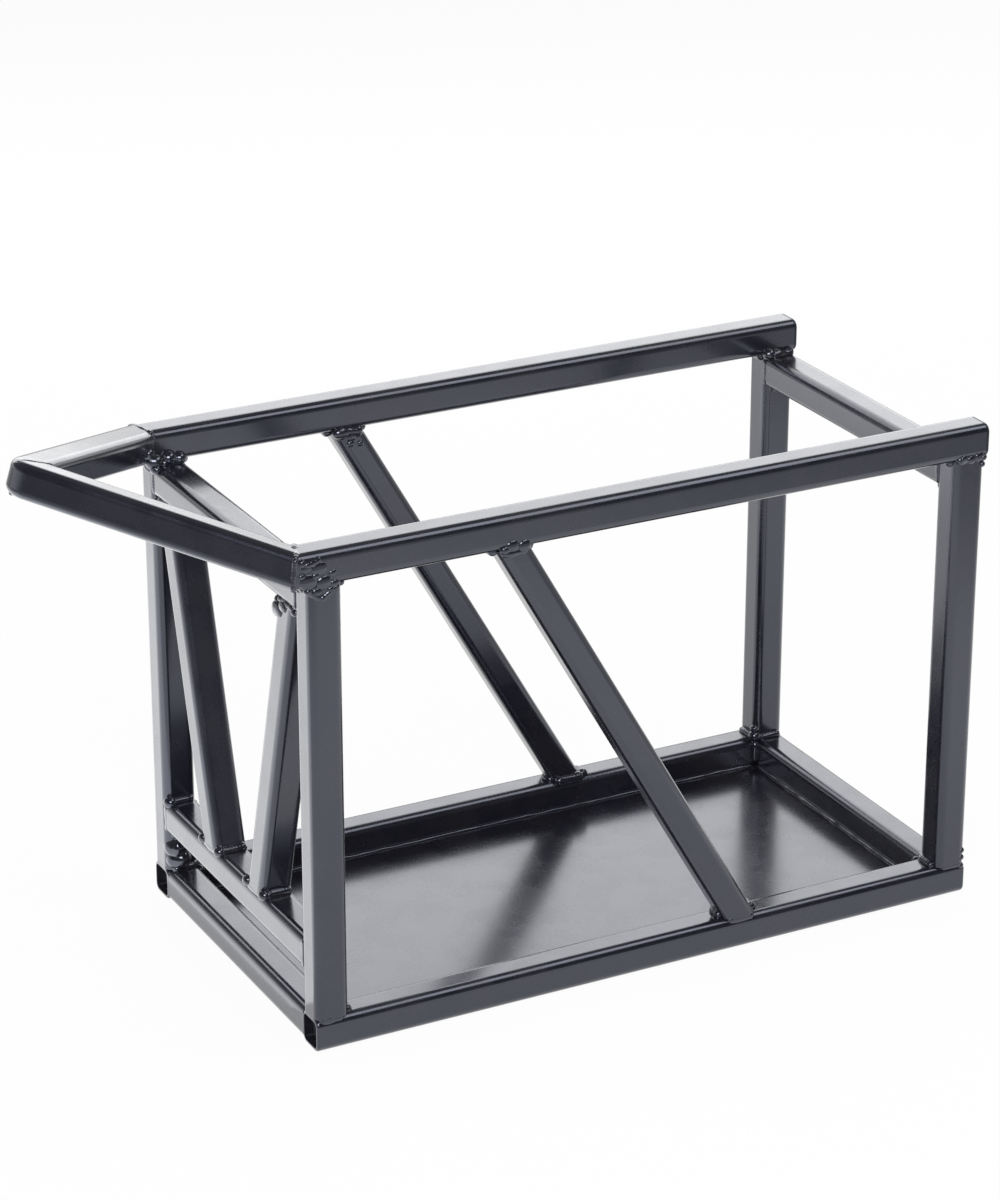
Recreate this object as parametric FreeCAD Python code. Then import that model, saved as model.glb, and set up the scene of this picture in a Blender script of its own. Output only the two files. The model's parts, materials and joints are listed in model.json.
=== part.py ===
# Firewood log rack: a rigid welded frame of square steel tube. All sizes are in millimetres.
# X runs along the rack and the bow reaches out to -X. Y runs across it, the near side is -Y.
# Z is up and 0 is the floor. The frame is built with its nose faces at x = 0 and centred at the end.
import math
import os

import FreeCAD
import Part

V = FreeCAD.Vector

# frame tube
tube = 20.0
wall = 2.0
corner_radius = 5.0

# overall sizes of the tube frame, over the outer faces of the legs
frame_length = 424.0
frame_width = 228.0
frame_height = 296.0

# nose bar, and the V braces that stand on it: the space between their feet, and beside their tops
nose_bar_bottom = 44.0
nose_brace_foot_space = 41.0
nose_brace_top_gap = 1.6

# side braces, one size smaller than the frame tube
side_tube = 18.0
side_brace_top_x = 122.0
side_brace_foot_x = 270.0

# bow: where its centre lines leave the rails, and its tip, from the nose faces and the rail centre height
bow_root_x = -4.0
bow_tip_x = -112.0
bow_tip_rise = 34.0
bow_tip_radius = 14.0

# floor plate: it lies between the tubes, its underside a little over the floor, and its clipped
# corners leave a space for the beads of the bottom frame
plate_thickness = 1.2
plate_lift = 0.2
plate_corner_space = 0.5

# end caps: the bottom rails have plugs set a little way in, the top rails have caps that cover the end
cap_flange_top = 2.5
cap_inset = 5.0
cap_face = 2.0
cap_plug_length = 9.0
cap_plug_clearance = 0.2
cap_plug_wall = 1.5

# rounding of the bottom rails' end edges
rail_end_radius = 1.5

# weld beads
bead = 3.5
corner_fill = 8.0

# weld puddles on the side faces: how far they stand proud, sink into a groove, and slope at the edge
puddle_proud = 1.2
puddle_root = 1.4
puddle_slope = 1.3

# positions that follow from the sizes
half_width = frame_width / 2
rail_y = half_width - tube / 2
inner_y = half_width - tube
plate_corner_cut = bead + plate_corner_space
rail_z = frame_height - tube / 2
leg_top_z = frame_height - tube
cross_bottom_z = frame_height - 2 * tube
nose_bar_top = nose_bar_bottom + tube
nose_leg_x = tube / 2
tail_leg_x = frame_length - tube / 2
flat = tube - 2 * corner_radius
nose_brace_rise = cross_bottom_z - nose_bar_top
nose_brace_run = inner_y - nose_brace_top_gap - nose_brace_foot_space / 2
SIDES = (("near", -1), ("far", 1))
ENDS = (("nose", nose_leg_x, 1), ("tail", tail_leg_x, -1))
X_AXIS = V(1, 0, 0)
Y_AXIS = V(0, 1, 0)
Z_AXIS = V(0, 0, 1)


def oriented(shape, origin, z_dir, y_dir):
    """Move a shape built about Z so that Z follows z_dir and Y follows y_dir as nearly as it can."""
    z_unit = V(z_dir).normalize()
    x_unit = y_dir.cross(z_unit).normalize()
    y_unit = z_unit.cross(x_unit)
    rows = []
    for name in ("x", "y", "z"):
        rows += [getattr(x_unit, name), getattr(y_unit, name), getattr(z_unit, name), getattr(origin, name)]
    moved = shape.copy()
    moved.Placement = FreeCAD.Placement(FreeCAD.Matrix(*rows, 0, 0, 0, 1))
    return moved


def rounded_bar(size, radius, length):
    """Solid bar along Z from 0, square with rounded long edges."""
    box = Part.makeBox(size, size, length, V(-size / 2, -size / 2, 0))
    uprights = [edge for edge in box.Edges if abs(edge.tangentAt(edge.FirstParameter).z) > 0.9]
    return box.makeFillet(radius, uprights)


def square_tube(start, end, up, size=tube):
    """Hollow tube from start to end with one pair of faces square to up."""
    axis = end.sub(start)
    outer = rounded_bar(size, corner_radius, axis.Length)
    inner = rounded_bar(size - 2 * wall, corner_radius - wall, axis.Length)
    return oriented(outer.cut(inner), start, axis, up)


def keep_side(shape, point, normal):
    """The part of a shape on the side of a plane that its normal points to."""
    block = Part.makeBox(1200, 1200, 600, V(-600, -600, 0))
    helper = X_AXIS if abs(normal.x) < 0.9 * normal.Length else Y_AXIS
    return shape.common(oriented(block, point, normal, helper))


def prism(points, along):
    """Closed prism: a flat polygon swept by the vector along, centred on the polygon."""
    shift = V(along).multiply(-0.5)
    corners = [point.add(shift) for point in points]
    face = Part.Face(Part.makePolygon(corners + corners[:1]))
    return face.extrude(along)


def wedge(corner, first, second, along, size=bead):
    """Fillet weld bead in the corner between two faces that leave it along first and second."""
    one = corner.add(V(first).normalize().multiply(size))
    two = corner.add(V(second).normalize().multiply(size))
    return prism([corner, one, two], along)


def plug_skirt():
    """Hollow plug of a cap, along Z from 0, as it sits in the tube."""
    plug_size = tube - 2 * wall - 2 * cap_plug_clearance
    plug_radius = corner_radius - wall - cap_plug_clearance
    hollow = rounded_bar(plug_size - 2 * cap_plug_wall, plug_radius - cap_plug_wall, cap_plug_length)
    return rounded_bar(plug_size, plug_radius, cap_plug_length), hollow


def end_cap(face_x, outward, y, z):
    """Push-in cap of a top rail: a flange on the end face and a hollow plug in the tube."""
    plug, hollow = plug_skirt()
    top = rounded_bar(tube, corner_radius, cap_flange_top)
    top.translate(V(0, 0, -cap_flange_top))
    cap = top.fuse(plug.cut(hollow)).removeSplitter()
    return oriented(cap, V(face_x, y, z), V(-outward, 0, 0), Z_AXIS)


def inset_cap(face_x, outward, y, z):
    """Plug of a bottom rail, set inside the tube: its closed face fits the bore, its skirt is looser."""
    plug, hollow = plug_skirt()
    hollow.translate(V(0, 0, cap_face))
    face = rounded_bar(tube - 2 * wall, corner_radius - wall, cap_face)
    cap = face.fuse(plug.cut(hollow)).removeSplitter()
    start = V(face_x - outward * cap_inset, y, z)
    return oriented(cap, start, V(-outward, 0, 0), Z_AXIS)


def round_ends(bar, ends):
    """Round the outer edges of a tube along X at its end faces."""
    middle = bar.BoundBox.Center
    chosen = []
    for edge in bar.Edges:
        box = edge.BoundBox
        at_end = box.XLength < 0.001 and min(abs(box.XMin - end) for end in ends) < 0.001
        sides = (box.YMin - middle.y, box.YMax - middle.y, box.ZMin - middle.z, box.ZMax - middle.z)
        if at_end and max(abs(side) for side in sides) > (tube - wall) / 2:
            chosen.append(edge)
    return bar.makeFillet(rail_end_radius, chosen)


def build_base(nodes):
    for name, side in SIDES:
        y = side * rail_y
        rail = square_tube(V(0, y, tube / 2), V(frame_length, y, tube / 2), Z_AXIS)
        nodes[f"bottom_rail_{name}"] = round_ends(rail, (0, frame_length))
        nodes[f"cap_bottom_nose_{name}"] = inset_cap(0, -1, y, tube / 2)
        nodes[f"cap_bottom_tail_{name}"] = inset_cap(frame_length, 1, y, tube / 2)
    for name, x, inward in ENDS:
        start = V(x, -inner_y, tube / 2)
        nodes[f"bottom_cross_{name}"] = square_tube(start, V(x, inner_y, tube / 2), Z_AXIS)
    length = frame_length - 2 * tube
    corner = V(tube, -inner_y, plate_lift)
    sheet = Part.makeBox(length, 2 * inner_y, plate_thickness, corner)
    corners = [edge for edge in sheet.Edges if abs(edge.tangentAt(edge.FirstParameter).z) > 0.9]
    nodes["floor_plate"] = sheet.makeChamfer(plate_corner_cut, corners)


def build_uprights(nodes):
    for end_name, x, inward in ENDS:
        for name, side in SIDES:
            foot = V(x, side * rail_y, tube)
            nodes[f"leg_{end_name}_{name}"] = square_tube(foot, V(x, side * rail_y, leg_top_z), X_AXIS)
        z = cross_bottom_z + tube / 2
        nodes[f"top_cross_{end_name}"] = square_tube(V(x, -inner_y, z), V(x, inner_y, z), Z_AXIS)
    z = nose_bar_bottom + tube / 2
    nodes["nose_bar"] = square_tube(V(nose_leg_x, -inner_y, z), V(nose_leg_x, inner_y, z), Z_AXIS)


def between_levels(start, end, low, high, up, size=tube):
    """Tube on the line from start to end, cut level at the heights low and high."""
    reach = V(end.sub(start)).normalize().multiply(3 * tube)
    shape = square_tube(start.sub(reach), end.add(reach), up, size)
    return keep_side(keep_side(shape, V(0, 0, low), Z_AXIS), V(0, 0, high), V(0, 0, -1))


def nose_brace_line():
    """Half the width of a V brace along its level cuts, and the y of its centre line at foot and top.

    The outer edge of the level top and the inner edge of the level foot are nose_brace_run apart,
    so the lean and the half width are found together in a few steps.
    """
    half = tube / 2
    for step in range(40):
        lean = math.atan2(nose_brace_run - 2 * half, nose_brace_rise)
        half = tube / 2 / math.cos(lean)
    foot_y = nose_brace_foot_space / 2 + half
    return half, foot_y, inner_y - nose_brace_top_gap - half


def build_braces(nodes):
    half, foot_y, top_y = nose_brace_line()
    for name, side in SIDES:
        top = V(nose_leg_x, side * top_y, cross_bottom_z)
        foot = V(nose_leg_x, side * foot_y, nose_bar_top)
        nodes[f"nose_brace_{name}"] = between_levels(foot, top, nose_bar_top, cross_bottom_z, X_AXIS)
        y = side * (half_width - side_tube / 2)
        top = V(side_brace_top_x, y, leg_top_z)
        foot = V(side_brace_foot_x, y, tube)
        nodes[f"side_brace_{name}"] = between_levels(foot, top, tube, leg_top_z, Y_AXIS, side_tube)


def bow_plane():
    """Direction of the bow from the rails to its tip, the normal of its plane, and its half angle."""
    out = V(bow_tip_x - bow_root_x, 0, bow_tip_rise)
    half_angle = math.atan2(rail_y, out.Length)
    out.normalize()
    return out, V(-out.z, 0, out.x).multiply(-1), half_angle


def bow_solid(size, edge_radius):
    """Solid V of the bow, size across each arm, with rounded edges and tip, its arms past the rails."""
    out, normal, half_angle = bow_plane()
    tip = V(bow_tip_x, 0, rail_z + bow_tip_rise)
    tip_radius = bow_tip_radius - (tube - size) / 2
    centre = tip.add(V(out).multiply((tube / 2 - bow_tip_radius) / math.sin(half_angle)))
    inside = tip.sub(V(out).multiply(size / 2 / math.sin(half_angle)))
    reach = V(bow_tip_x - bow_root_x, rail_y, bow_tip_rise).Length + 2 * tube
    touch = []
    outer_end = []
    inner_end = []
    for side in (-1, 1):
        outward = V(out).multiply(math.sin(half_angle)).add(V(0, side * math.cos(half_angle), 0))
        arm = V(out).multiply(-math.cos(half_angle)).add(V(0, side * math.sin(half_angle), 0))
        arm.multiply(reach)
        touch.append(centre.add(V(outward).multiply(tip_radius)))
        outer_end.append(tip.add(V(outward).multiply(size / 2)).add(arm))
        inner_end.append(tip.sub(V(outward).multiply(size / 2)).add(arm))
    nose = Part.Arc(touch[0], centre.add(V(out).multiply(tip_radius)), touch[1]).toShape()
    corners = [touch[1], outer_end[1], inner_end[1], inside, inner_end[0], outer_end[0], touch[0]]
    lines = [Part.makeLine(first, second) for first, second in zip(corners, corners[1:])]
    plan = Part.Face(Part.Wire([nose] + lines))
    plan.translate(V(normal).multiply(-size / 2))
    solid = plan.extrude(V(normal).multiply(size))
    long_edges = []
    for edge in solid.Edges:
        upright = abs(edge.tangentAt(edge.FirstParameter).dot(normal)) > 0.9
        if not upright and abs(edge.Length - size) > 0.01:
            long_edges.append(edge)
    return solid.makeFillet(edge_radius, long_edges)


def build_top(nodes):
    tip = V(bow_tip_x, 0, rail_z + bow_tip_rise)
    bow = bow_solid(tube, corner_radius).cut(bow_solid(tube - 2 * wall, corner_radius - wall))
    for name, side in SIDES:
        root = V(bow_root_x, side * rail_y, rail_z)
        bow_dir = tip.sub(root).normalize()
        mitre = X_AXIS.sub(bow_dir).normalize()
        tail = V(frame_length, side * rail_y, rail_z)
        rail = square_tube(root.sub(V(2 * tube, 0, 0)), tail, Z_AXIS)
        nodes[f"top_rail_{name}"] = keep_side(rail, root, mitre)
        nodes[f"cap_top_tail_{name}"] = end_cap(frame_length, 1, side * rail_y, rail_z)
        arm = keep_side(bow, V(0, 0, 0), V(0, side, 0))
        nodes[f"bow_tube_{name}"] = keep_side(arm, root, V(mitre).multiply(-1))


def leg_welds(nodes):
    feet = []
    tops = []
    for end_name, x, inward in ENDS:
        face_x = x + inward * tube / 2
        for name, side in SIDES:
            across = V(0, flat, 0)
            feet.append(wedge(V(face_x, side * rail_y, tube), V(inward, 0, 0), Z_AXIS, across))
            feet.append(wedge(V(x, side * inner_y, tube), V(0, -side, 0), Z_AXIS, V(flat, 0, 0)))
            tops.append(wedge(V(face_x, side * rail_y, leg_top_z), V(inward, 0, 0), V(0, 0, -1), across))
    nodes["welds_leg_feet"] = Part.makeCompound(feet)
    nodes["welds_leg_tops"] = Part.makeCompound(tops)


def cross_welds(nodes):
    corners = []
    bar = []
    cross = []
    for end_name, x, inward in ENDS:
        for name, side in SIDES:
            corner = V(x + inward * tube / 2, side * inner_y, tube / 2)
            corners.append(wedge(corner, V(inward, 0, 0), V(0, -side, 0), V(0, 0, flat)))
    for name, side in SIDES:
        inwards = V(0, -side, 0)
        for z, direction in ((nose_bar_bottom, -1), (nose_bar_top, 1)):
            bar.append(wedge(V(nose_leg_x, side * inner_y, z), inwards, V(0, 0, direction), V(flat, 0, 0)))
        under = V(tail_leg_x, side * inner_y, cross_bottom_z)
        cross.append(wedge(under, inwards, V(0, 0, -1), V(flat, 0, 0)))
    nodes["welds_base_corners"] = Part.makeCompound(corners)
    nodes["welds_nose_bar"] = Part.makeCompound(bar)
    nodes["welds_top_cross"] = Part.makeCompound(cross)


def brace_welds(nodes):
    nose = []
    half, foot_y, top_y = nose_brace_line()
    along = V(flat, 0, 0)
    for name, side in SIDES:
        rise = V(0, side * (top_y - foot_y), nose_brace_rise).normalize()
        for way in (-1, 1):
            foot = V(nose_leg_x, side * foot_y + way * half, nose_bar_top)
            nose.append(wedge(foot, V(0, way, 0), rise, along))
        inner = V(nose_leg_x, side * (top_y - half), cross_bottom_z)
        nose.append(wedge(inner, V(0, -side, 0), V(rise).multiply(-1), along))
        outer = V(nose_leg_x, side * (top_y + half), cross_bottom_z)
        lower = outer.sub(V(rise).multiply(corner_fill / rise.z))
        leg = V(nose_leg_x, side * inner_y, cross_bottom_z)
        nose.append(prism([outer, leg, leg.sub(V(0, 0, corner_fill)), lower], along))
    nodes["welds_nose_braces"] = Part.makeCompound(nose)
    sides = []
    slope = V(side_brace_top_x - side_brace_foot_x, 0, leg_top_z - tube).normalize()
    half = side_tube / 2 / slope.z
    for name, side in SIDES:
        y = side * (half_width - side_tube / 2)
        along = V(0, side_tube - 2 * corner_radius, 0)
        for way in (-1, 1):
            sides.append(wedge(V(side_brace_foot_x + way * half, y, tube), V(way, 0, 0), slope, along))
            top = V(side_brace_top_x + way * half, y, leg_top_z)
            sides.append(wedge(top, V(way, 0, 0), V(slope).multiply(-1), along))
    nodes["welds_side_braces"] = Part.makeCompound(sides)


def bow_weld(nodes):
    out, normal, half_angle = bow_plane()
    tip = V(bow_tip_x, 0, rail_z + bow_tip_rise)
    inside = tip.sub(V(out).multiply(tube / 2 / math.sin(half_angle)))
    back = []
    for side in (-1, 1):
        back.append(V(0, side * rail_y, rail_z).add(V(bow_root_x, 0, 0)).sub(tip))
    nodes["weld_bow_tip"] = wedge(inside, back[0], back[1], V(normal).multiply(flat))


def puddle(side, start_x, end_x, low, high, tubes):
    """Flat weld metal on a side face over a joint, filled into the grooves between its tubes."""
    middle_x = (start_x + end_x) / 2
    root = half_width - puddle_root
    face = half_width - 0.1
    top = half_width + puddle_proud
    outline = [(root, low), (face, low), (top, low + puddle_slope)]
    outline += [(top, high - puddle_slope), (face, high), (root, high)]
    metal = prism([V(middle_x, side * y, z) for y, z in outline], V(end_x - start_x, 0, 0))
    for shape in tubes:
        metal = metal.cut(shape)
    return metal


def outer_welds(nodes):
    puddles = []
    for name, side in SIDES:
        rail = nodes[f"top_rail_{name}"]
        brace = nodes[f"side_brace_{name}"]
        half_brace = side_tube / 2
        low = leg_top_z - 3.5
        high = leg_top_z + 5
        first = side_brace_top_x - half_brace
        last = side_brace_top_x + half_brace
        puddles.append(puddle(side, first, last, low, high, (rail, brace)))
        leg = nodes[f"leg_nose_{name}"]
        puddles.append(puddle(side, bow_root_x - 2, tube - 4, low, high + 9, (rail, leg)))
        leg = nodes[f"leg_tail_{name}"]
        puddles.append(puddle(side, frame_length - tube + 5, frame_length, low, high, (rail, leg)))
    nodes["welds_outer_faces"] = Part.makeCompound(puddles)


def seam(corner, outward, along, neighbour):
    """Weld seam in the groove between the floor plate's edge and the rounded corner of a tube."""
    up = V(0, 0, plate_thickness)
    across = V(outward).multiply(corner_radius)
    points = [corner, corner.add(across), corner.add(across).add(up), corner.add(up)]
    return prism(points, along).cut(neighbour)


def plate_welds(nodes):
    seams = []
    along_rail = V(frame_length - 2 * tube - 2 * plate_corner_cut, 0, 0)
    for name, side in SIDES:
        rail = rounded_bar(tube, corner_radius, frame_length)
        rail = oriented(rail, V(0, side * rail_y, tube / 2), X_AXIS, Z_AXIS)
        corner = V(frame_length / 2, side * inner_y, plate_lift)
        seams.append(seam(corner, V(0, side, 0), along_rail, rail))
    along_cross = V(0, 2 * inner_y - 2 * plate_corner_cut, 0)
    for end_name, x, inward in ENDS:
        cross = rounded_bar(tube, corner_radius, 2 * inner_y)
        cross = oriented(cross, V(x, -inner_y, tube / 2), Y_AXIS, Z_AXIS)
        corner = V(x + inward * tube / 2, 0, plate_lift)
        seams.append(seam(corner, V(-inward, 0, 0), along_cross, cross))
    nodes["welds_floor_plate"] = Part.makeCompound(seams)


def build():
    nodes = {}
    build_base(nodes)
    build_uprights(nodes)
    build_braces(nodes)
    build_top(nodes)
    leg_welds(nodes)
    cross_welds(nodes)
    brace_welds(nodes)
    bow_weld(nodes)
    outer_welds(nodes)
    plate_welds(nodes)
    return nodes


def main():
    nodes = build()
    boxes = [shape.optimalBoundingBox(False, False) for shape in nodes.values()]
    low = min(box.XMin for box in boxes)
    high = max(box.XMax for box in boxes)
    shift = V(-(low + high) / 2, 0, 0)
    os.makedirs("parts", exist_ok=True)
    for name, shape in nodes.items():
        shape.translate(shift)
        shape.exportStep(f"parts/{name}.step")
        solids = len(shape.Solids)
        print(f"{name:24s} solids {solids:2d} valid {shape.isValid()} volume {shape.Volume:9.0f}")
    top = max(box.ZMax for box in boxes)
    print(f"nose faces at x = {shift.x:.3f}, length {high - low:.3f}, height {top:.3f}, nodes {len(nodes)}")


main()
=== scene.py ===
# %% [markdown]
# # A firewood rack welded from square tube
# The rack is a welded frame of black painted steel tube with a thin steel floor and a bow that slopes
# up at one end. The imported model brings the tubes, the floor sheet, the caps and plain wedges and pads
# for the welds, at their real size. This lesson keeps the tubes and the sheet, gives them paint, and
# builds what the plain model only hints at: the frozen ripples of every weld and the moulded caps.

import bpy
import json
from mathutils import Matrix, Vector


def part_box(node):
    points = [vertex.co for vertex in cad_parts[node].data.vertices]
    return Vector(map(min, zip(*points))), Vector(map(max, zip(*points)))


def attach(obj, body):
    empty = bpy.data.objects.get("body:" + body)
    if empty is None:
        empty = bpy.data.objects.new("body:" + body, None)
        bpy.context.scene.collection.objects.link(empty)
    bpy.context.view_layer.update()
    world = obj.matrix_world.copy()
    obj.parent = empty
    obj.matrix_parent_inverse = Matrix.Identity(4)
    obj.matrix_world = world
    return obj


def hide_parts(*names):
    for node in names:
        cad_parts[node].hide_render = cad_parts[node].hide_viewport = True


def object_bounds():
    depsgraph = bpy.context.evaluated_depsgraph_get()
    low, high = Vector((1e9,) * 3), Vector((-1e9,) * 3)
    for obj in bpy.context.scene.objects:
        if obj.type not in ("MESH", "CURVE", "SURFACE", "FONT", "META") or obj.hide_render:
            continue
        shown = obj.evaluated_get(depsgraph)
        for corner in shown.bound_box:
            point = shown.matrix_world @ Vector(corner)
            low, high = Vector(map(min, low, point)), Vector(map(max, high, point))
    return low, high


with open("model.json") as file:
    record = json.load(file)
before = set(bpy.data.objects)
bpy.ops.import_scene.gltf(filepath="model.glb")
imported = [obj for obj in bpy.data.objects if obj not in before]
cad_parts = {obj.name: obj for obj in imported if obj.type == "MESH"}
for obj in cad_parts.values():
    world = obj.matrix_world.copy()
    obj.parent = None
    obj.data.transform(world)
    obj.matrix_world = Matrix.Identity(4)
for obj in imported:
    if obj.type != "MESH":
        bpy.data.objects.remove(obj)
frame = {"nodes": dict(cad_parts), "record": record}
cad_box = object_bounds()
print(len(frame["nodes"]), "CAD nodes, box", [[round(c, 4) for c in corner] for corner in cad_box])

# %% Everything else the lesson needs
import json
import math
import random

import bmesh
import bpy
from mathutils import Matrix, Vector

MM = 0.001
nodes = frame["nodes"]
slots = {row["node"]: row["material_slot"] for row in frame["record"]["subparts"]}
print("finishes:", sorted(set(slots.values())))

# %% [markdown]
# ## Camera
# A long lens from a little over two metres keeps the tubes nearly parallel, as in a catalogue picture.
# The camera could be aimed with a constraint, but a matrix made from its turn and its dip is exact and
# stays put. Blender's camera looks along its own -Z with +Y up, so the dip starts from 90 degrees.

# %% Camera
camera_data = bpy.data.cameras.new("camera")
camera_data.sensor_width = 36
camera_data.lens = 117.0
camera_data.clip_end = 60
camera = bpy.data.objects.new("camera", camera_data)
turn, dip = math.radians(-27.56), math.radians(22.70)
camera_place = (-0.9335, -1.8262, 1.0569)
camera.matrix_world = (
    Matrix.Translation(camera_place)
    @ Matrix.Rotation(turn, 4, "Z")
    @ Matrix.Rotation(math.pi / 2 - dip, 4, "X")
)
bpy.context.scene.collection.objects.link(camera)
bpy.context.scene.camera = camera
bpy.context.scene.view_settings.view_transform = "Standard"
print("camera", round(camera.location.length, 3), "m from the middle of the floor")

# %% [markdown]
# ## Shader arithmetic
# A finish is a small recipe of sums on noise, and a tree of node calls hides the recipe. The class
# below wraps one output socket and gives it Python's own operators, so `1 - mask` makes the Math node
# for us. Colours and vectors go to Mix and Vector Math nodes, because a Math node would turn them grey.

# %% A socket that can be added and multiplied
class Wire:
    """One output socket of a shader tree, with arithmetic."""

    def __init__(self, tree, socket):
        self.tree = tree
        self.socket = socket

    def combine(self, operation, first, second):
        kinds = {w.socket.type for w in (first, second) if isinstance(w, Wire)}
        if "RGBA" in kinds:
            settings = {"data_type": "RGBA", "blend_type": operation}
            return self.tree.node("Mix", settings, {0: 1.0, 6: first, 7: second}, out=2)
        kind = "VectorMath" if "VECTOR" in kinds else "Math"
        return self.tree.node(kind, {"operation": operation}, {0: first, 1: second})

    def __add__(self, other):
        return self.combine("ADD", self, other)

    def __sub__(self, other):
        return self.combine("SUBTRACT", self, other)

    def __mul__(self, other):
        return self.combine("MULTIPLY", self, other)

    def __rsub__(self, other):
        return self.combine("SUBTRACT", other, self)

    __radd__ = __add__
    __rmul__ = __mul__

    def larger(self, other):
        return self.combine("MAXIMUM", self, other)

    def between(self, low, high, start=0.0, end=1.0):
        """A smooth step: start where this value is low, end where it is high."""
        sockets = {"Value": self, "From Min": low, "From Max": high, "To Min": start, "To Max": end}
        return self.tree.node("MapRange", {"interpolation_type": "SMOOTHSTEP"}, sockets)

    def blend(self, dark, light):
        """Colour dark where this value is 0, light where it is 1."""
        return self.tree.node("Mix", {"data_type": "RGBA"}, {0: self, 6: dark, 7: light}, out=2)


print("Wire adds, subtracts and multiplies sockets")


# %% A tree to write a recipe in
class Tree:
    """A shader tree to write a recipe in."""

    def __init__(self, owner):
        owner.use_nodes = True
        self.tree = owner.node_tree
        self.tree.nodes.clear()

    def node(self, kind, settings=None, sockets=None, out=0):
        """Any node: its type, its settings, which are set first, and its socket values or links.

        It gives back the output of that number or name.
        """
        made = self.tree.nodes.new("ShaderNode" + kind)
        for name, value in (settings or {}).items():
            setattr(made, name, value)
        for name, value in (sockets or {}).items():
            if isinstance(value, Wire):
                self.tree.links.new(value.socket, made.inputs[name])
            else:
                made.inputs[name].default_value = value
        output = made.outputs[out] if made.outputs else None
        return Wire(self, output)


def colour(red, green, blue):
    return (red, green, blue, 1.0)


print("Tree makes any node and gives back a Wire")

# %% [markdown]
# ## Studio
# Black gloss paint has almost no colour of its own: what the eye reads is the room in its faces. So
# the room is built for its reflections. A big soft lamp low behind the rack makes every top face shine,
# the white floor in front greys the side faces, and a dim wall in front and a dark ceiling leave thin
# dark lines along the rounded edges. A lamp high in front draws one fine light line between them, a
# bright one beside the camera puts a spark on every bead, and a panel that lies on the floor beyond the
# bow lights up the faces of the nose end. A ring of small lamps would give dots instead, so there are
# four broad ones. The floor is white to the eye. In the paint it fades with distance, and close to the
# rack it is a little darker, because there it lies in the shade of the rack itself.

# %% Floor
floor_radius, floor_drop = 14.0, 0.0002
floor_mesh = bpy.data.meshes.new("floor")
bm = bmesh.new()
bmesh.ops.create_circle(bm, cap_ends=True, segments=96, radius=floor_radius)
bm.to_mesh(floor_mesh)
bm.free()
floor = bpy.data.objects.new("floor", floor_mesh)
floor.location.z = -floor_drop
bpy.context.scene.collection.objects.link(floor)
print("floor", floor.dimensions.x, "m wide")


# %% Floor paint
def ray_kinds(tree):
    """1 for rays straight from the camera, and 1 for rays by way of gloss or glass."""
    path = tree.node("LightPath").socket.node.outputs
    kinds = [Wire(tree, path[name]) for name in ("Is Camera Ray", "Is Glossy Ray", "Is Transmission Ray")]
    return kinds[0], kinds[1].larger(kinds[2])


floor_paint = bpy.data.materials.new("studio_floor")
tree = Tree(floor_paint)
lit = tree.node("BsdfDiffuse", None, {"Color": colour(0.9, 0.9, 0.9)})
straight, mirrored = ray_kinds(tree)
place = tree.node("TexCoord", out="Object")
distance = tree.node("VectorMath", {"operation": "LENGTH"}, {0: place}, out="Value")
shade_centre = (0.1, -0.06, 0.0)
from_shade = tree.node("VectorMath", {"operation": "DISTANCE"}, {0: place, 1: shade_centre}, out="Value")
own_shade = from_shade.between(0.15, 0.45, 0.78, 0.96)
pool_of_light = distance.between(0.66, 0.98, 1.0, 0.46) * own_shade
tone = straight.larger(mirrored * pool_of_light).blend(colour(0, 0, 0), colour(1, 1, 1))
white = tree.node("Emission", None, {"Color": tone, "Strength": 1.0})
both = tree.node("MixShader", None, {0: straight.larger(mirrored) * 0.95, 1: lit, 2: white})
tree.node("OutputMaterial", None, {"Surface": both})
floor_mesh.materials.append(floor_paint)
print("floor paint has", len(floor_paint.node_tree.nodes), "nodes")

# %% World
world = bpy.data.worlds.new("studio")
bpy.context.scene.world = world
tree = Tree(world)
direction = tree.node("TexCoord", out="Generated")
parts = tree.node("SeparateXYZ", None, {0: direction}).socket.node.outputs
depth, height = Wire(tree, parts[1]), Wire(tree, parts[2])
fill = 0.37
wall = depth.between(-0.5, 0.3, 0.14, 1.0)
room = height.between(0.02, 0.34, 1.0, 0.17) * wall
straight, mirrored = ray_kinds(tree)
indirect = mirrored * room + (1 - mirrored) * fill
strength = straight + (1 - straight) * indirect
light = tree.node("Background", None, {"Color": colour(1, 1, 1), "Strength": strength})
tree.node("OutputWorld", None, {"Surface": light})
print("world: white behind the rack, dim in front of it and overhead")


# %% Lamps
def soft_lamp(name, place, aim, width, height, brightness):
    """A rectangular area lamp. Its power follows from how bright its face should look in a mirror."""
    data = bpy.data.lights.new(name, "AREA")
    data.shape = "RECTANGLE"
    data.size, data.size_y = width, height
    data.energy = brightness * math.pi * width * height
    lamp = bpy.data.objects.new(name, data)
    lamp.location = place
    lamp.rotation_euler = (Vector(aim) - Vector(place)).to_track_quat("-Z", "Y").to_euler()
    lamp.visible_camera = False
    bpy.context.scene.collection.objects.link(lamp)
    print(name, round(data.energy, 1), "W")


middle = (cad_box[0] + cad_box[1]) / 2
soft_lamp("back_lamp", (0.56, 1.55, 1.02), middle, 2.7, 1.12, 1.85)
soft_lamp("front_lamp", (0.82, -0.80, 1.75), middle, 1.6, 0.75, 2.5)
soft_lamp("spark_lamp", (-0.70, -1.36, 1.12), middle, 0.9, 0.7, 9.0)
soft_lamp("low_panel", (-0.76, 0.56, 0.004), (-0.76, 0.56, 1.0), 1.2, 1.25, 0.8)

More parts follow.
